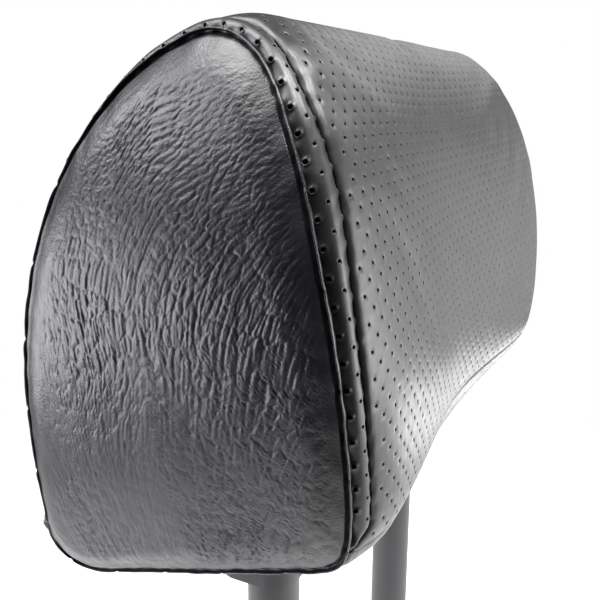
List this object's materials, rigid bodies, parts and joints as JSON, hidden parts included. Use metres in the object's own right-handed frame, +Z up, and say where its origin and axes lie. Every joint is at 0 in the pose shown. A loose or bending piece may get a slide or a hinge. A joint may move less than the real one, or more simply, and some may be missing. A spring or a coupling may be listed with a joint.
{
  "type": "two-post chair headrest",
  "caption": "Upholstered headrest with perforated leather front, grain leather sides, height-adjustable locking posts and forward tilt.",
  "frame": {"origin": "midway between the two guide sleeves, on the plane their flanges rest on, which is the top of the chair back", "axes": "+X to the right seen from the front, the cushion's front faces -Y, +Z up along the posts"},
  "size_m": [0.2818, 0.134, 0.3464],
  "materials": {
    "sleeve_plastic": "satin",
    "button_plastic": "satin",
    "plug_plastic": "matte",
    "bezel_plastic": "matte",
    "closure_plastic": "satin",
    "carrier_plastic": "matte",
    "acetal": "satin",
    "spring_steel": "satin",
    "raw_steel": "satin",
    "zinc_steel": "satin",
    "chromed_steel": "polished",
    "foam": "matte",
    "perforated_leather": "satin",
    "grain_leather": "satin",
    "thread": "satin"
  },
  "bodies": {
    "seat_mount": {"guide_sleeve_plain": "sleeve_plastic", "guide_sleeve_locking": "sleeve_plastic", "sleeve_cap": "sleeve_plastic", "lock_wire": "spring_steel"},
    "release_button": {"release_button": "button_plastic"},
    "post_assembly": {"post_frame": "chromed_steel", "post_plugs": "plug_plastic", "stop_tab": "raw_steel"},
    "cushion": {"pivot_bush_left": "acetal", "pivot_bush_right": "acetal", "friction_clip_left": "spring_steel", "friction_clip_right": "spring_steel", "carrier_rear": "carrier_plastic", "carrier_front": "carrier_plastic", "carrier_screws": "zinc_steel", "clip_screws": "zinc_steel", "foam_core": "foam", "wrap_panel": "perforated_leather", "seam_band_left": "perforated_leather", "seam_band_right": "perforated_leather", "side_panel_left": "grain_leather", "side_panel_right": "grain_leather", "bottom_panel": "grain_leather", "post_bezels": "bezel_plastic", "closure_hook_wrap": "closure_plastic", "closure_hook_panel": "closure_plastic", "topstitch_left": "thread", "topstitch_right": "thread"}
  },
  "joints": [
    {"name": "height_slide", "type": "slide", "parent": "seat_mount", "child": "post_assembly", "axis": [0, 0, 1], "range_m": [0, 0.06], "deforming": ["lock_wire"]},
    {"name": "tilt", "type": "hinge", "parent": "post_assembly", "child": "cushion", "pos_m": [0, 0, 0.09], "axis": [1, 0, 0], "range_deg": [0, 15]},
    {"name": "release_button", "type": "slide", "parent": "seat_mount", "child": "release_button", "axis": [-1, 0, 0], "range_m": [0, 0.003], "stiffness_N_per_m": 800, "springref_m": -0.003, "deforming": ["lock_wire"]}
  ]
}
